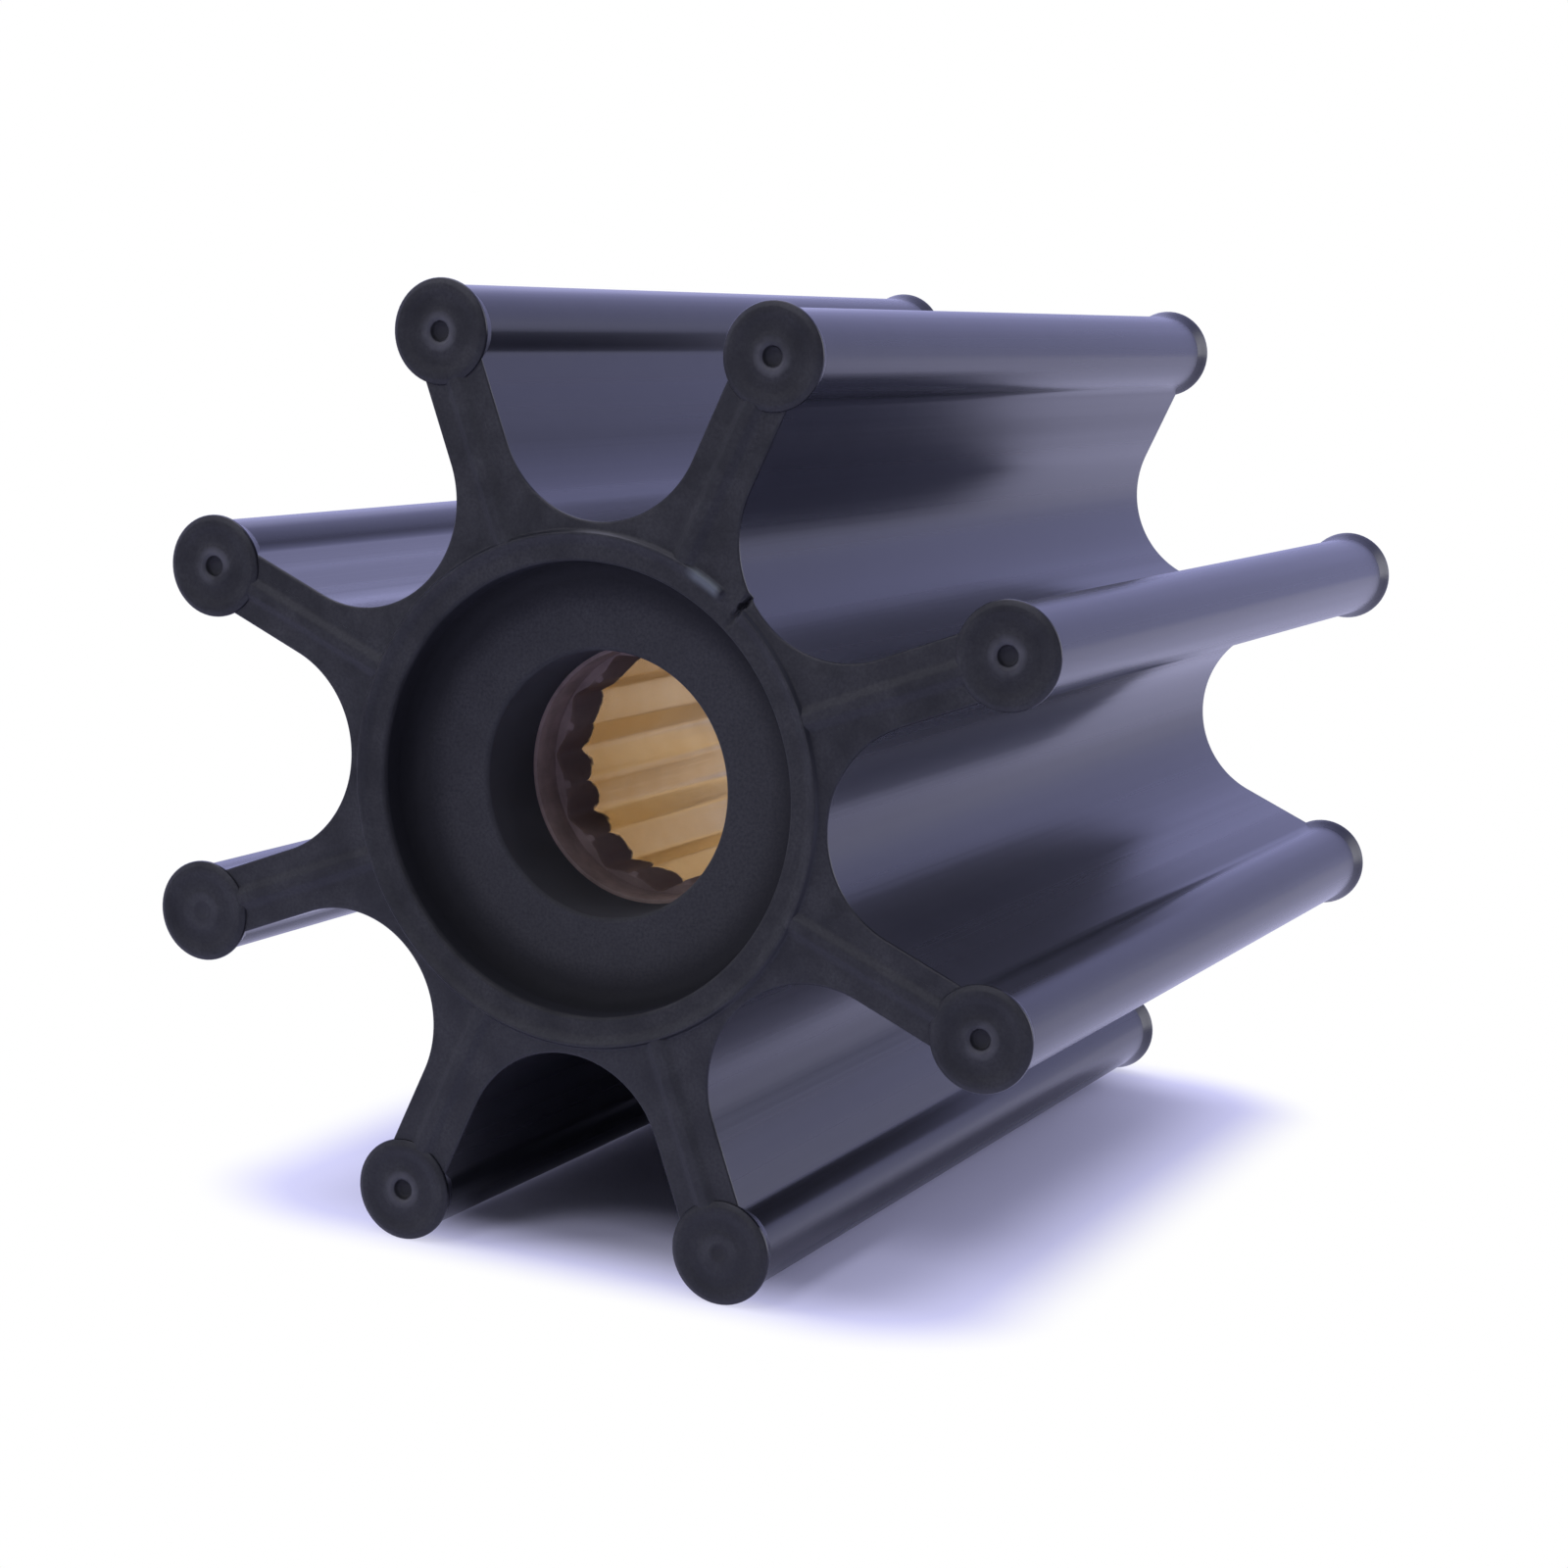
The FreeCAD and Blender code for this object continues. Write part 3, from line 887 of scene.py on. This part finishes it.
    def relief(self):
        """Long mould marks on the long faces, and a fine grain that is stronger on the matt ones."""
        nodes = self.nodes
        along = nodes.math("SUBTRACT", 1.0, self.matt)
        long_marks = nodes.math("ADD", self.streaks, nodes.product(self.broad, BROAD_WEIGHT))
        fine = nodes.span(self.matt, RISE, GRAIN_WEIGHT)
        return nodes.math("ADD", nodes.product(long_marks, along), nodes.product(self.grain, fine))


def rubber_material():
    """Black moulded rubber: matt on the end faces, satin with fine streaks along the vanes."""
    material, nodes, shader = new_material("moulded_rubber")
    look = RubberLook(nodes)
    nodes.link(look.colour(), shader.inputs["Base Color"])
    nodes.link(look.roughness(), shader.inputs["Roughness"])
    nodes.link(nodes.bump(look.relief(), RUBBER_BUMP), shader.inputs["Normal"])
    shader.inputs["IOR"].default_value = RUBBER_IOR
    shader.inputs["Sheen Weight"].default_value = SHEEN_WEIGHT
    shader.inputs["Sheen Roughness"].default_value = SHEEN_ROUGHNESS
    shader.inputs["Sheen Tint"].default_value = SHEEN_TINT
    shader.inputs["Specular Tint"].default_value = SPECULAR_TINT
    return material


def film_end(nodes, from_crest):
    """Depth in metres at which the brown film ends: short at the crests, in lobes of painted shade between
    them.
    """
    lobe = nodes.math("SQRT", nodes.span(from_crest, FILM_LOBE_EDGE, RISE))
    dip = nodes.span(from_crest, FILM_DIP_EDGE, (0.0, FILM_DIP * MM))
    reach = nodes.math("ADD", nodes.product(lobe, FILM_LOBE * MM), FILM_REACH * MM)
    return nodes.math("SUBTRACT", reach, dip)


def brass_material():
    """Broached brass. A brown film of dried bonding agent covers the mouths of the bore. Its lobes and
    darker patches in the grooves are painted shade.
    """
    material, nodes, shader = new_material("broached_brass")
    place = nodes.add("ShaderNodeTexCoord").outputs["Object"]
    x, y, z = nodes.split(place)
    shorter = nodes.fade(y, FILM_MIDDLE, (0.0, FILM_SHORTER * MM))
    depth = nodes.math("ADD", nodes.math("SUBTRACT", HALF * MM, nodes.math("ABSOLUTE", y)), shorter)
    from_crest = nodes.product(nodes.math("ABSOLUTE", folded_angle(nodes, x, z, SPLINES)), 2.0)
    ragged = nodes.noise(place, *RAGGED)
    raggedness = nodes.span(ragged, FILM_RAGGED_RANGE, (-FILM_RAGGED * MM, FILM_RAGGED * MM))
    past_end = nodes.math("ADD", nodes.math("SUBTRACT", depth, film_end(nodes, from_crest)), raggedness)
    soiled = nodes.fade(past_end, FILM_EDGE, FALL)

    brass = nodes.shades(nodes.noise(place, *BRASS_TONE), BRASS_SHADES)
    across = nodes.span(from_crest, *GROOVE_SHADE_ACROSS)
    patches = nodes.span(ragged, *GROOVE_SHADE_PATCHES)
    # Painted shade, stronger towards each groove's middle.
    groove_shade = nodes.product(nodes.fade(depth, GROOVE_SHADE_START, RISE), across, patches)
    brown = nodes.mix(groove_shade, nodes.shades(ragged, FILM_SHADES, FILM_RANGE), GROOVE_SHADE_COLOUR)
    nodes.link(nodes.mix(soiled, brass, brown), shader.inputs["Base Color"])
    nodes.link(nodes.span(soiled, RISE, BRASS_METALLIC), shader.inputs["Metallic"])
    nodes.link(nodes.span(soiled, RISE, BRASS_ROUGHNESS), shader.inputs["Roughness"])
    nodes.link(nodes.bump(nodes.noise(place, *BROACH_MARKS), BRASS_BUMP), shader.inputs["Normal"])
    return material


def background_rays(nodes):
    """1 for the rays that show the background: camera, mirror and glass rays."""
    rays = nodes.add("ShaderNodeLightPath")
    seen = nodes.math("MAXIMUM", rays.outputs["Is Camera Ray"], rays.outputs["Is Glossy Ray"])
    return nodes.math("MAXIMUM", seen, rays.outputs["Is Transmission Ray"])


def beyond(nodes, coordinate, half, width):
    """How far a coordinate lies outside the shadow's half size, in parts of width."""
    outside = nodes.math("SUBTRACT", nodes.math("ABSOLUTE", coordinate), half * MM)
    return nodes.math("MAXIMUM", nodes.math("DIVIDE", outside, width * MM), 0.0)


def floor_material():
    """Pale round the object. Further out it gives light: for the camera white past a violet halo, and for
    mirror rays violet. Other rays find it pale everywhere.
    """
    material = bpy.data.materials.new("pale_floor")
    material.use_nodes = True
    nodes = Nodes(material.node_tree)
    diffuse = nodes.add("ShaderNodeBsdfDiffuse")
    nodes.feed(FLOOR_COLOUR, diffuse.inputs["Color"])
    white = nodes.add("ShaderNodeEmission")
    x, y = nodes.split(nodes.add("ShaderNodeTexCoord").outputs["Object"])[:2]
    distance = nodes.length(beyond(nodes, x, SHADOW_HALF_X, SHADOW_FADE_X),
                            beyond(nodes, y, SHADOW_HALF_Y, SHADOW_FADE_Y))
    far = nodes.add("ShaderNodeMapRange", interpolation_type="SMOOTHSTEP")
    nodes.link(distance, far.inputs["Value"])

    camera_ray = nodes.add("ShaderNodeLightPath").outputs["Is Camera Ray"]
    halo = nodes.product(nodes.span(far.outputs["Result"], HALO_RANGE, RISE), camera_ray)
    glow = nodes.product(nodes.fade(y, *FLOOR_GLOW_Y), nodes.fade(x, *FLOOR_GLOW_X))
    change = nodes.product(nodes.math("SUBTRACT", glow, 1.0), nodes.math("SUBTRACT", 1.0, camera_ray))
    nodes.link(nodes.math("ADD", change, 1.0), white.inputs["Strength"])
    nodes.link(nodes.mix(halo, HALO_COLOUR, WHITE), white.inputs["Color"])

    share = nodes.product(far.outputs["Result"], background_rays(nodes))
    output = nodes.add("ShaderNodeOutputMaterial")
    nodes.link(nodes.mix_shaders(share, diffuse.outputs[0], white.outputs[0]), output.inputs["Surface"])
    return material


def add_floor():
    """A plain pale floor that fades to white away from the object."""
    bm = bmesh.new()
    bmesh.ops.create_grid(bm, x_segments=1, y_segments=1, size=FLOOR_HALF * MM)
    mesh = bpy.data.meshes.new("floor")
    bm.to_mesh(mesh)
    bm.free()
    mesh.materials.append(floor_material())
    floor = bpy.data.objects.new("floor", mesh)
    floor.location = (0, 0, FLOOR_Z * MM)
    bpy.context.scene.collection.objects.link(floor)


def soft_sky(nodes, x, y):
    """The light that falls on the object from all round, stronger from the sides and from behind."""
    sky = nodes.add("ShaderNodeBackground")
    nodes.link(nodes.ramp(nodes.span(y, DIRECTION, RISE), SKY_SHADES), sky.inputs["Color"])
    sides = nodes.product(nodes.math("ABSOLUTE", x), nodes.span(y, *SKY_SIDES))
    strength = nodes.product(nodes.math("ADD", sides, SKY_LEAST), nodes.span(y, *SKY_AWAY))
    nodes.link(strength, sky.inputs["Strength"])
    return sky.outputs[0]


def mirrored_room(nodes, x, y):
    """What the object mirrors: dark in front, violet behind, and a bright panel at the right rear."""
    room = nodes.add("ShaderNodeBackground")
    aslant = nodes.product(x, nodes.span(y, *MIRROR_BEHIND))
    lean = nodes.math("SUBTRACT", nodes.span(y, *MIRROR_LEAN), aslant)
    tint = nodes.ramp(nodes.span(lean, MIRROR_RANGE, RISE), MIRROR_SHADES)
    panel = nodes.product(nodes.span(x, PANEL_X, RISE), nodes.span(y, PANEL_Y, RISE))
    nodes.link(nodes.mix(panel, tint, PANEL_COLOUR), room.inputs["Color"])
    nodes.link(nodes.span(panel, RISE, MIRROR_STRENGTH), room.inputs["Strength"])
    return room.outputs[0]


def add_world():
    """White for the camera, a soft sky for the light and a violet room for the reflections."""
    world = bpy.data.worlds.new("studio")
    bpy.context.scene.world = world
    world.use_nodes = True
    nodes = Nodes(world.node_tree)
    x, y = nodes.split(nodes.add("ShaderNodeTexCoord").outputs["Generated"])[:2]
    white = nodes.add("ShaderNodeBackground")
    nodes.feed(WHITE, white.inputs["Color"])
    rays = nodes.add("ShaderNodeLightPath")
    mirror_ray = nodes.math("MAXIMUM", rays.outputs["Is Glossy Ray"], rays.outputs["Is Transmission Ray"])
    studio = nodes.mix_shaders(mirror_ray, soft_sky(nodes, x, y), mirrored_room(nodes, x, y))
    seen = nodes.mix_shaders(rays.outputs["Is Camera Ray"], studio, white.outputs[0])
    output = nodes.add("ShaderNodeOutputWorld")
    nodes.link(seen, output.inputs["Surface"])


def add_lamp(name, position, size, power, colour, in_mirrors):
    """A square soft lamp that faces the object. Position and size are in metres."""
    light = bpy.data.lights.new(name, "AREA")
    light.size = size
    light.energy = power
    light.color = colour
    lamp = bpy.data.objects.new(name, light)
    lamp.location = position
    lamp.rotation_euler = (-Vector(position)).to_track_quat("-Z", "Y").to_euler()
    lamp.visible_glossy = in_mirrors
    bpy.context.scene.collection.objects.link(lamp)


def add_camera():
    """The camera, from the fitted view of the two ends of the star."""
    azimuth = math.radians(CAMERA_AZIMUTH)
    elevation = math.radians(CAMERA_ELEVATION)
    roll = math.radians(CAMERA_ROLL)
    back = Vector((math.sin(azimuth) * math.cos(elevation),
                   -math.cos(azimuth) * math.cos(elevation),
                   math.sin(elevation)))
    right = Vector((math.cos(azimuth), math.sin(azimuth), 0))
    up = back.cross(right)
    place = (back * CAMERA_DISTANCE + right * CAMERA_RIGHT + up * CAMERA_UP) * MM
    turned_right = right * math.cos(roll) + up * math.sin(roll)
    turned_up = up * math.cos(roll) - right * math.sin(roll)
    data = bpy.data.cameras.new("camera")
    data.lens = LENS
    data.sensor_width = SENSOR
    data.sensor_fit = "HORIZONTAL"
    data.clip_start = CAMERA_CLIP * MM
    camera = bpy.data.objects.new("camera", data)
    bpy.context.scene.collection.objects.link(camera)
    matrix = camera.matrix_world.copy()
    for column, axis in enumerate((turned_right, turned_up, back, place)):
        for row in range(3):
            matrix[row][column] = axis[row]
    camera.matrix_world = matrix
    bpy.context.scene.camera = camera


rubber = bmesh.new()
add_star(rubber)
add_discs(rubber)
add_ribs(rubber)
rubber_piece = finish_mesh(rubber, "moulded_star", rubber_material())
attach(rubber_piece, "root")
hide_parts("rubber_body")

bush = bmesh.new()
add_bush(bush)
bush_piece = finish_mesh(bush, "brass_bush", brass_material())
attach(bush_piece, "root")
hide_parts("splined_bush")

add_floor()
add_world()
for lamp_values in LAMPS:
    add_lamp(*lamp_values)
add_camera()
bpy.context.scene.view_settings.view_transform = "Standard"
